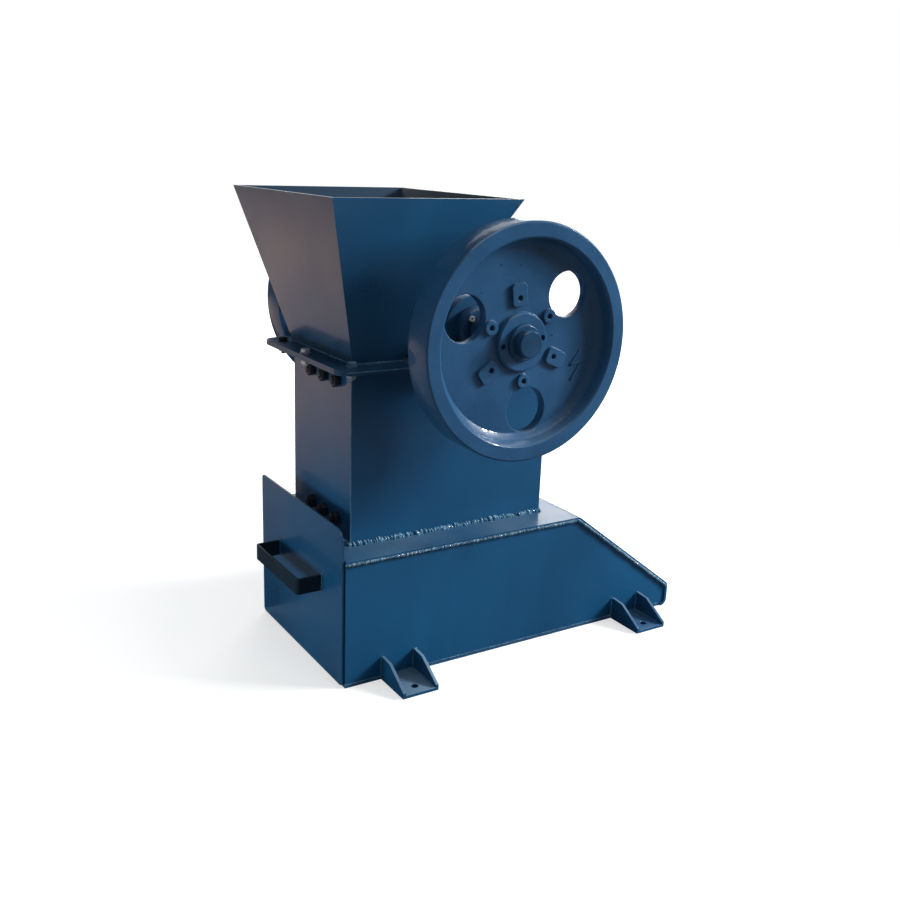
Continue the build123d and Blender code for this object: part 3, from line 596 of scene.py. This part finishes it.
# The finish of a node by how its name starts; the first that fits counts
NODE_FINISH = {
    "fixed_jaw_plate": "jaw", "swing_jaw_plate": "jaw", "swing_jaw": "casting", "flywheel": "casting",
    "pillow_block": "casting", "bearing_cap": "casting", "toggle_seat": "casting",
    "eccentric_shaft": "turned", "collar": "turned", "drawer_handle": "dark", "drawer_tray": "tray",
    "foot": "foot", "base_top_plate": "top", "body_flange": "flange", "hopper_flange": "flange",
    "hopper": "hopper", "tension_spring": "spring", "tension_nut": "zinc", "spring_washers": "zinc",
    "tension_rod": "oiled", "toggle_plate": "oiled", "": "plate",
}

# Plates that are welded flush keep sharp corners, so that the joint between them shows no groove
WELDED_FLUSH = ("front_wall", "rear_wall", "side_plate", "hopper_front", "hopper_rear", "hopper_left",
                "hopper_right", "base_side", "base_top_plate", "base_slope_cover", "base_floor")


class CRUSHER_OT_finishes(bpy.types.Operator):
    """Gives every CAD node its finish and eases the edges of those not welded flush"""

    bl_idname = "crusher.finishes"
    bl_label = "Finishes"

    def execute(self, context):
        FINISH.update(finishes())
        for name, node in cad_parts.items():
            node.data.materials.clear()
            finish = next(NODE_FINISH[start] for start in NODE_FINISH if name.startswith(start))
            node.data.materials.append(FINISH[finish])
            if name.startswith(WELDED_FLUSH):
                continue
            weld = node.modifiers.new("Join corners", "WELD")
            weld.merge_threshold = 0.01 * MM
            ease = node.modifiers.new("Eased edges", "BEVEL")
            ease.width = context.scene.crusher_paint.edge_width
            ease.segments = 2
            ease.limit_method = "ANGLE"
            ease.angle_limit = math.radians(38)
            ease.harden_normals = True
        return {"FINISHED"}


# Fasteners

class CRUSHER_OT_jaw_bolts(bpy.types.Operator):
    """Two rows of nuts on the front wall, which hold the fixed jaw"""

    bl_idname = "crusher.jaw_bolts"
    bl_label = "Jaw bolts"

    def execute(self, context):
        thread = context.scene.crusher_bolts.jaw_bolt
        low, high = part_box("front_wall")
        middle_x, spacing, stud_out = 14.3 * MM, 42.5 * MM, 3 * MM
        parts = bmesh.new()
        for height in (high.z - 22 * MM, low.z + 31 * MM):
            for column in (-1, 0, 1):
                place = (middle_x + column * spacing, low.y, height)
                add_nut_on_stud(parts, place, (0, -1, 0), thread, stud_out, washer=False)
        finish_piece("jaw_bolt_nuts", parts, "fixed_frame", FINISH["black"])
        return {"FINISHED"}


class CRUSHER_OT_flange_bolts(bpy.types.Operator):
    """Bolts that hold the hopper's flange on the body's flange"""

    bl_idname = "crusher.flange_bolts"
    bl_label = "Flange bolts"

    def execute(self, context):
        thread = context.scene.crusher_bolts.flange_bolt
        low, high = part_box("hopper_flange")
        under, stud_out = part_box("body_flange")[0].z, 4 * MM
        for name, x, y, finish in (
                ("left", low.x + 33 * MM, low.y + 20 * MM, "black"),
                ("middle", 0, low.y + 11 * MM, "zinc"),
                ("right", high.x - 23 * MM, low.y + 30 * MM, "dusty")):
            parts = bmesh.new()
            add_bolt_head(parts, (x, y, high.z), (0, 0, 1), thread)
            add_nut_on_stud(parts, (x, y, under), (0, 0, -1), thread, stud_out)
            finish_piece("flange_bolt_" + name, parts, "fixed_frame", FINISH[finish])
        return {"FINISHED"}


class CRUSHER_OT_bearing_bolts(bpy.types.Operator):
    """Bolts through the pillow blocks' feet"""

    bl_idname = "crusher.bearing_bolts"
    bl_label = "Bearing bolts"

    def execute(self, context):
        thread = context.scene.crusher_bolts.bearing_bolt
        foot_thickness, bolt_reach = 16 * MM, 63 * MM
        parts = bmesh.new()
        for side, _ in SIDES:
            low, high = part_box("pillow_block_" + side)
            centre = (low + high) / 2
            for along in (-1, 1):
                place = (centre.x, centre.y + along * bolt_reach, low.z + foot_thickness)
                add_bolt_head(parts, place, (0, 0, 1), thread)
        finish_piece("bearing_bolts", parts, "fixed_frame", FINISH["zinc"])
        return {"FINISHED"}


class CRUSHER_OT_cap_screws(bpy.types.Operator):
    """Socket screws round the bearing caps"""

    bl_idname = "crusher.cap_screws"
    bl_label = "Cap screws"

    def execute(self, context):
        thread = context.scene.crusher_bolts.cap_screw
        head_r, head_t, socket_r = 0.85 * thread, 0.6 * thread, 0.5 * thread
        ring_inset, rim, closed = 8 * MM, 0.3 * MM, 0.01 * MM
        parts = bmesh.new()
        for side, outward in SIDES:
            low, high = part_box("bearing_cap_" + side)
            face_x = high.x if outward > 0 else low.x
            centre = (low + high) / 2
            circle = (high.z - low.z) / 2 - ring_inset
            for angle in (45, 135, 225, 315):
                place = around(face_x, centre, circle, angle)
                add_lathed(parts, facing(place, (outward, 0, 0)), [
                    (head_r, 0), (head_r, head_t - rim), (head_r - rim, head_t), (socket_r, head_t),
                    (socket_r, 0.3 * head_t), (closed, 0.3 * head_t)], 18)
        finish_piece("cap_screws", parts, "fixed_frame", FINISH["zinc"])
        return {"FINISHED"}


# Weld beads

class CRUSHER_OT_body_welds(bpy.types.Operator):
    """Coarse bead where the crushing body stands on the base, and the bead under its flange"""

    bl_idname = "crusher.body_welds"
    bl_label = "Body welds"

    def execute(self, context):
        welds = context.scene.crusher_welds
        chance = random.Random(welds.seed)
        side_low, side_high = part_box("side_plate_right")
        front_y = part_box("front_wall")[0].y
        rear_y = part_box("rear_wall")[1].y
        half = side_high.x
        foot, top = side_low.z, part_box("body_flange")[0].z
        coarse, knots, fine = [], [], []
        for (x1, y1), (x2, y2), away_x, away_y in (
                ((half, front_y), (half, rear_y), 11 * MM, 0),
                ((-half, front_y), (-half, rear_y), -11 * MM, 0),
                ((-half, front_y), (half, front_y), 0, -8 * MM),
                ((-half, rear_y), (half, rear_y), 0, 9 * MM)):
            bead(coarse, [(x1, y1, foot), (x2, y2, foot)], welds.body_bead, welds.pitch_share, chance, 0.34,
                 welds.spatter, (away_x, away_y, 0.2 * MM))
        seam = welds.seam_bead
        bead(fine, rectangle(-half, half, front_y, rear_y, top), seam, welds.pitch_share, chance, 0.3)
        for x in (-half, half):
            for y in (front_y, rear_y):
                seam_x = x - math.copysign(0.3 * seam, x)
                seam_y = y - math.copysign(0.3 * seam, y)
                bead(fine, [(seam_x, seam_y, foot), (seam_x, seam_y, top)], 0.55 * seam, 1.0, chance, 0.06)
                inner, inward = x - math.copysign(15 * MM, x), y - math.copysign(4 * MM, y)
                height = top - 10 * MM
                line = [(inner, y, height), (x, y, height), (x, inward, height)]
                bead(knots, line, 0.52 * welds.body_bead, 0.7, chance, 0.4)
        weld_piece("weld_body_coarse", coarse)
        # Painted highlight: the knots take the near-white enamel that stands in for their glints.
        weld_piece("weld_body_knots", knots, finish="painted_glint")
        weld_piece("weld_body_seams", fine)
        return {"FINISHED"}


class CRUSHER_OT_hopper_welds(bpy.types.Operator):
    """Beads round the hopper's foot and along the right edge of its flange's underside"""

    bl_idname = "crusher.hopper_welds"
    bl_label = "Hopper welds"

    def execute(self, context):
        welds = context.scene.crusher_welds
        chance = random.Random(welds.seed + 1)
        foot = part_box("hopper_flange")[1].z
        front = level_box("hopper_front", foot)
        rear = level_box("hopper_rear", foot)
        parts, gap = [], []
        line = rectangle(front[0], front[1], front[2], rear[3], foot)
        bead(parts, line, 0.8 * welds.seam_bead, welds.pitch_share, chance, 0.3)
        weld_piece("weld_hopper_foot", parts)
        low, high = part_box("hopper_flange")
        line = [(high.x, low.y + 12 * MM, low.z), (high.x, high.y, low.z)]
        bead(gap, line, 0.45 * welds.seam_bead, 0.9, chance, 0.2)
        weld_piece("weld_flange_edge", gap)
        return {"FINISHED"}


class CRUSHER_OT_base_welds(bpy.types.Operator):
    """Uneven beads where the side plates meet the top plate, the cover and the floor"""

    bl_idname = "crusher.base_welds"
    bl_label = "Base welds"

    def execute(self, context):
        welds = context.scene.crusher_welds
        chance = random.Random(welds.seed + 2)
        parts, lower = [], []
        top_low, top_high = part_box("base_top_plate")
        seam = 1.15 * welds.seam_bead
        for side, outward in SIDES:
            low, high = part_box("base_side_" + side)
            face_x = high.x if outward > 0 else low.x
            outer = [v.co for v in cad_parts["base_side_" + side].data.vertices
                     if abs(v.co.x - face_x) < 0.1 * MM and v.co.y > top_high.y - 1 * MM]
            edge = sorted({(round(c.y, 5), round(c.z, 5)) for c in outer if c.z > low.z + 30 * MM})
            edge_x = outward * (top_high.x - 0.6 * MM)
            line = [(edge_x, top_low.y, high.z)] + [(edge_x, y, z) for y, z in edge]
            bead(parts, line, seam, 1.15 * welds.pitch_share, chance, 0.32)
            line = [(face_x, low.y, low.z), (face_x, high.y - 14 * MM, low.z)]
            bead(lower, line, 0.6 * seam, 1.1, chance, 0.2)
        weld_piece("weld_base_edges", parts, finish="dusty")
        weld_piece("weld_base_foot", lower)
        return {"FINISHED"}


class CRUSHER_OT_foot_welds(bpy.types.Operator):
    """Beads where the feet's gussets meet the base and their soles"""

    bl_idname = "crusher.foot_welds"
    bl_label = "Foot welds"

    def execute(self, context):
        welds = context.scene.crusher_welds
        chance = random.Random(welds.seed + 3)
        parts, lines = [], []
        sheet, toe_gap = 5 * MM, 14 * MM
        for name in ("foot_front_left", "foot_front_right", "foot_rear_left", "foot_rear_right"):
            low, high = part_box(name)
            right = name.endswith("right")
            wall_x, bead_end_x = (low.x, high.x - toe_gap) if right else (high.x, low.x + toe_gap)
            for y in (low.y + sheet, high.y - sheet):
                lines.append([(wall_x, y, sheet), (wall_x, y, high.z - 2 * MM)])
                lines.append([(wall_x, y, sheet), (bead_end_x, y, sheet)])
            for y in (low.y, high.y):
                lines.append([(wall_x, y, 3 * MM), (wall_x, y, high.z - 1 * MM)])
        for line in lines:
            bead(parts, line, 0.75 * welds.seam_bead, 0.8, chance, 0.3)
        weld_piece("weld_feet", parts)
        return {"FINISHED"}


class CRUSHER_OT_handle_welds(bpy.types.Operator):
    """Short beads at the two ends of the drawer's handle"""

    bl_idname = "crusher.handle_welds"
    bl_label = "Handle welds"

    def execute(self, context):
        welds = context.scene.crusher_welds
        chance = random.Random(welds.seed + 4)
        parts = []
        low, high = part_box("drawer_handle")
        plate_y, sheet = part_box("drawer_front")[0].y, 4 * MM
        for x_low, x_high in ((low.x, low.x + sheet), (high.x - sheet, high.x)):
            corners = ((x_low, low.z), (x_high, low.z), (x_high, high.z), (x_low, high.z), (x_low, low.z))
            line = [(x, plate_y, z) for x, z in corners]
            bead(parts, line, 0.5 * welds.seam_bead, 0.8, chance, 0.4)
        weld_piece("weld_handle", parts, "drawer")
        return {"FINISHED"}


# Marks of the foundry on the wheels

class CRUSHER_OT_wheel_marks(bpy.types.Operator):
    """A raised zig-zag casting mark and small lumps of sand on each wheel's web"""

    bl_idname = "crusher.wheel_marks"
    bl_label = "Wheel marks"

    def execute(self, context):
        chance = random.Random(11)
        wheel_low, wheel_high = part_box("flywheel_right")
        centre = (wheel_low + wheel_high) / 2
        web_x, circle, mark_turn = wheel_high.x - 25 * MM, 106 * MM, -22
        stroke, height, rise, ease = 3.6 * MM, 42 * MM, 1.8 * MM, 0.7 * MM
        lump_count, windows, half_window = 26, (42, 162, 282), 26
        zigzag = ((0.18, 0.5), (-0.22, 0.02), (0.26, 0.10), (-0.16, -0.5))
        for side, outward in SIDES:
            marks = bmesh.new()
            middle = Vector(around(outward * web_x, centre, circle, mark_turn))
            points = [middle + Vector((0, u * height, v * height)) for u, v in zigzag]
            for start, end in zip(points, points[1:]):
                run = end - start
                place = Matrix.Translation((start + end) / 2)
                turn = run.to_track_quat("Y", "X").to_matrix().to_4x4()
                shape = Matrix.Diagonal((2 * rise, run.length + 0.6 * stroke, stroke, 1))
                made = bmesh.ops.create_cube(marks, size=1, matrix=place @ turn @ shape)
                edges = list({e for v in made["verts"] for e in v.link_edges})
                bmesh.ops.bevel(marks, geom=edges, offset=ease, offset_type="OFFSET", affect="EDGES",
                                segments=2, profile=0.5, material=-1)
            for _ in range(lump_count):
                reach, spot = chance.uniform(52, 126) * MM, math.degrees(chance.uniform(0, 2 * math.pi))
                lump = chance.uniform(0.5, 1.3) * MM
                from_window = min(abs((spot - window + 180) % 360 - 180) for window in windows)
                if from_window < half_window and 55 * MM < reach < 125 * MM:
                    continue
                place = Matrix.Translation(around(outward * web_x, centre, reach, spot))
                bmesh.ops.create_icosphere(marks, subdivisions=2, radius=lump, matrix=place)
            finish_piece("cast_marks_" + side, marks, "rotor", FINISH["casting"], 30)
        return {"FINISHED"}


# Stage

def ray_mask(tree, *kinds):
    """One where a ray of one of the kinds arrives, such as Camera or Glossy."""
    path = add_node(tree, "ShaderNodeLightPath")
    mask = path.outputs[f"Is {kinds[0]} Ray"]
    for kind in kinds[1:]:
        mask = maths(tree, "MAXIMUM", mask, path.outputs[f"Is {kind} Ray"])
    return mask


def show_by_mask(tree, mask, first, second, output):
    """Feeds the output with the first shader, or with the second where the mask is one."""
    both = add_node(tree, "ShaderNodeMixShader")
    for socket, source in zip(both.inputs, (mask, first.outputs[0], second.outputs[0])):
        tree.links.new(source, socket)
    tree.links.new(both.outputs[0], tree.nodes[output].inputs["Surface"])


class CRUSHER_OT_stage(bpy.types.Operator):
    """A plain pale floor, soft lamps and an even sky"""

    bl_idname = "crusher.stage"
    bl_label = "Studio"

    def execute(self, context):
        studio = context.scene.crusher_studio
        self.make_floor(studio)
        self.make_sky(studio)
        self.make_flags()
        self.make_painted_hole_shadows()
        glint_power, sheen_power = 0.32 * studio.key_power, 0.10 * studio.rim_power
        self.make_lamp("Key lamp", (1.8, 3.0, 1.95), 1.4, studio.key_power, mirrored=False)
        self.make_lamp("Glint lamp", (1.5, 3.1, 2.1), 0.3, glint_power)
        self.make_lamp("Side lamp", (-3.2, 0.3, 1.1), 1.6, studio.side_power, mirrored=False)
        self.make_lamp("Top lamp", (0.9, 0.2, 3.4), 2.4, studio.top_power)
        self.make_lamp("Low lamp", (0, -1.1, 0.08), 0.3, studio.low_power, False, (0, 0, 0.12), 90)
        self.make_lamp("Rim lamp", (-3.2, 2.1, 1.75), 2.0, studio.rim_power, mirrored=False)
        self.make_lamp("Sheen lamp", (-3.1, 2.2, 1.35), 1.0, sheen_power)
        context.scene.view_settings.view_transform = "Standard"
        return {"FINISHED"}

    def make_floor(self, studio):
        """The floor: white to the camera; in what the paint mirrors and in bounced light it is toned by
        distance, darker near the machine, where painted shade stands in for the shadow around it.
        """
        parts = bmesh.new()
        bmesh.ops.create_grid(parts, x_segments=1, y_segments=1, size=studio.floor_size / 2)
        material = bpy.data.materials.new("Pale floor")
        material.use_nodes = True
        tree = material.node_tree
        tree.nodes.remove(tree.nodes["Principled BSDF"])
        distance = add_node(tree, "ShaderNodeVectorMath", operation="LENGTH")
        tree.links.new(object_place(tree), distance.inputs[0])
        far = distance.outputs["Value"]
        # Painted shade: the tone that rays other than the camera's see is dark near the machine, standing in
        # for the shade on the floor around and under it.
        tone = (0.20, 0.26, 0.31)
        for near_edge, far_edge, colour in (
                (0.40, 0.55, (0.13, 0.13, 0.14)), (0.80, 2.1, studio.floor_colour),
                (3.2, 4.2, (0.28, 0.27, 0.28))):
            tone = mixed(tree, ramp(tree, far, near_edge, far_edge), tone, colour)
        ground_with_painted_shade = add_node(tree, "ShaderNodeBsdfDiffuse")
        tree.links.new(tone, ground_with_painted_shade.inputs["Color"])
        lit = add_node(tree, "ShaderNodeBsdfDiffuse", {"Color": (0.5, 0.5, 0.5, 1)})
        glow = add_node(tree, "ShaderNodeEmission")
        tree.links.new(ramp(tree, far, 0.5, 1.5, 0.58, 1.0), glow.inputs["Strength"])
        white = add_node(tree, "ShaderNodeAddShader")
        tree.links.new(lit.outputs[0], white.inputs[0])
        tree.links.new(glow.outputs[0], white.inputs[1])
        show_by_mask(tree, ray_mask(tree, "Camera", "Transmission"), ground_with_painted_shade, white, "Material Output")
        floor = place_mesh("studio_floor", closed_mesh("studio_floor", parts), material)

    def make_flags(self):
        """Dark cards on the floor beside the machine and a dark tent with a gap at the rear left.

        They are seen only as reflections.
        """
        near, far, front, rear, height = 0.156, 5.0, -0.40, 5.0, 1 * MM
        front_near = 0.42
        tent_r, turn_step, top = 5.0, 15, 90
        rings = (0, 8, 25, 45, 65, top)
        gap_turns, gap_rings = range(90, 195), range(8, 45)
        parts = bmesh.new()
        for side in (-1, 1):
            corners = ((near, front), (far, front), (far, rear), (near, rear))
            parts.faces.new([parts.verts.new((side * x, y, height)) for x, y in corners[::side]])
        corners = ((front_near, -far), (far, -far), (far, front), (front_near, front))
        parts.faces.new([parts.verts.new((x, y, height)) for x, y in corners])
        for low, high in zip(rings, rings[1:]):
            for turn in range(0, 360, turn_step):
                if turn in gap_turns and low in gap_rings:
                    continue
                places = [(turn, low), (turn + turn_step, low), (turn + turn_step, high), (turn, high)]
                if high == top:
                    places.pop()
                parts.faces.new([
                    parts.verts.new(Matrix.Rotation(math.radians(across), 3, "Z")
                                    @ Matrix.Rotation(math.radians(-up), 3, "Y") @ Vector((tent_r, 0, 0)))
                    for across, up in places])
        material = bpy.data.materials.new("Dark cloth")
        material.use_nodes = True
        shader = material.node_tree.nodes["Principled BSDF"]
        shader.inputs["Base Color"].default_value = (0.012, 0.013, 0.015, 1)
        shader.inputs["Roughness"].default_value = 0.9
        shader.inputs["Specular IOR Level"].default_value = 0.1
        flags = place_mesh("dark_flags", closed_mesh("dark_flags", parts), material)
        for ray in ("camera", "diffuse", "shadow", "transmission", "volume_scatter"):
            setattr(flags, "visible_" + ray, False)

    def make_painted_hole_shadows(self):
        """Dark discs on the floor inside the four anchor holes: painted shadow for the shade that falls in
        the holes.
        """
        hole_x, hole_y, shade_r, lift = 200 * MM, 224 * MM, 6 * MM, 0.3 * MM
        parts = bmesh.new()
        for x in (-hole_x, hole_x):
            for y in (-hole_y, hole_y):
                place = Matrix.Translation((x, y, lift))
                bmesh.ops.create_circle(parts, cap_ends=True, segments=24, radius=shade_r, matrix=place)
        mesh = closed_mesh("painted_hole_shadows", parts)
        painted_shadows = place_mesh("painted_hole_shadows", mesh, bpy.data.materials["Dark cloth"])

    def make_sky(self, studio):
        """White where it is seen or mirrored, and a soft cool light elsewhere."""
        world = bpy.data.worlds.new("Studio sky")
        bpy.context.scene.world = world
        world.use_nodes = True
        tree = world.node_tree
        white = tree.nodes["Background"]
        white.inputs["Color"].default_value = (1, 1, 1, 1)
        cool = {"Color": (0.82, 0.93, 1.0, 1), "Strength": studio.sky_strength}
        even = add_node(tree, "ShaderNodeBackground", cool)
        show_by_mask(tree, ray_mask(tree, "Camera", "Glossy", "Transmission"), even, white, "World Output")

    def make_lamp(self, name, place, size, power, mirrored=True, target=(0, 0, 0.35), spread=180):
        """A square lamp that faces a target; a lamp that isn't mirrored leaves no bright spot."""
        lamp = bpy.data.lights.new(name, "AREA")
        lamp.shape, lamp.size, lamp.energy, lamp.spread = "SQUARE", size, power, math.radians(spread)
        holder = bpy.data.objects.new(name, lamp)
        holder.location, holder.visible_glossy = place, mirrored
        holder.rotation_euler = (Vector(target) - Vector(place)).to_track_quat("-Z", "Y").to_euler()
        bpy.context.scene.collection.objects.link(holder)


class CRUSHER_OT_camera(bpy.types.Operator):
    """The camera at the photograph's viewing angle"""

    bl_idname = "crusher.camera"
    bl_label = "Camera"

    def execute(self, context):
        azimuth, elevation, roll = math.radians(57.52), math.radians(16.30), math.radians(2.13)
        back = Vector((math.sin(azimuth) * math.cos(elevation),
                       -math.cos(azimuth) * math.cos(elevation), math.sin(elevation)))
        data = bpy.data.cameras.new("Camera")
        data.lens, data.sensor_width = 40.68, 36
        camera = bpy.data.objects.new("Camera", data)
        camera.rotation_mode = "QUATERNION"
        camera.location = (1.3522, -0.9107, 0.7608)
        camera.rotation_quaternion = (-back).to_track_quat("-Z", "Y") @ Quaternion((0, 0, 1), roll)
        context.scene.collection.objects.link(camera)
        context.scene.camera = camera
        return {"FINISHED"}


class CRUSHER_PT_dressing(bpy.types.Panel):
    """Lists the steps and the settings"""

    bl_label = "Jaw crusher"
    bl_idname = "CRUSHER_PT_dressing"
    bl_space_type = "VIEW_3D"
    bl_region_type = "UI"
    bl_category = "Crusher"

    def draw(self, context):
        for group_name in SETTINGS:
            settings = getattr(context.scene, group_name)
            box = self.layout.box()
            for field in settings.__annotations__:
                box.prop(settings, field)
        for step in STEPS:
            self.layout.operator(step.bl_idname)


SETTINGS = {
    "crusher_paint": CrusherPaint,
    "crusher_welds": CrusherWelds,
    "crusher_bolts": CrusherBolts,
    "crusher_studio": CrusherStudio,
}
STEPS = (
    CRUSHER_OT_camera, CRUSHER_OT_finishes, CRUSHER_OT_jaw_bolts, CRUSHER_OT_flange_bolts,
    CRUSHER_OT_bearing_bolts, CRUSHER_OT_cap_screws, CRUSHER_OT_body_welds, CRUSHER_OT_hopper_welds,
    CRUSHER_OT_base_welds, CRUSHER_OT_foot_welds, CRUSHER_OT_handle_welds, CRUSHER_OT_wheel_marks,
    CRUSHER_OT_stage,
)
CLASSES = (*SETTINGS.values(), *STEPS, CRUSHER_PT_dressing)


def register():
    for item in CLASSES:
        bpy.utils.register_class(item)
    for name, group in SETTINGS.items():
        setattr(bpy.types.Scene, name, bpy.props.PointerProperty(type=group))


def unregister():
    for name in SETTINGS:
        delattr(bpy.types.Scene, name)
    for item in reversed(CLASSES):
        bpy.utils.unregister_class(item)


def main():
    """Runs every step in order."""
    register()
    for step in STEPS:
        getattr(bpy.ops.crusher, step.bl_idname.split(".")[1])()


if __name__ == "__main__":
    main()
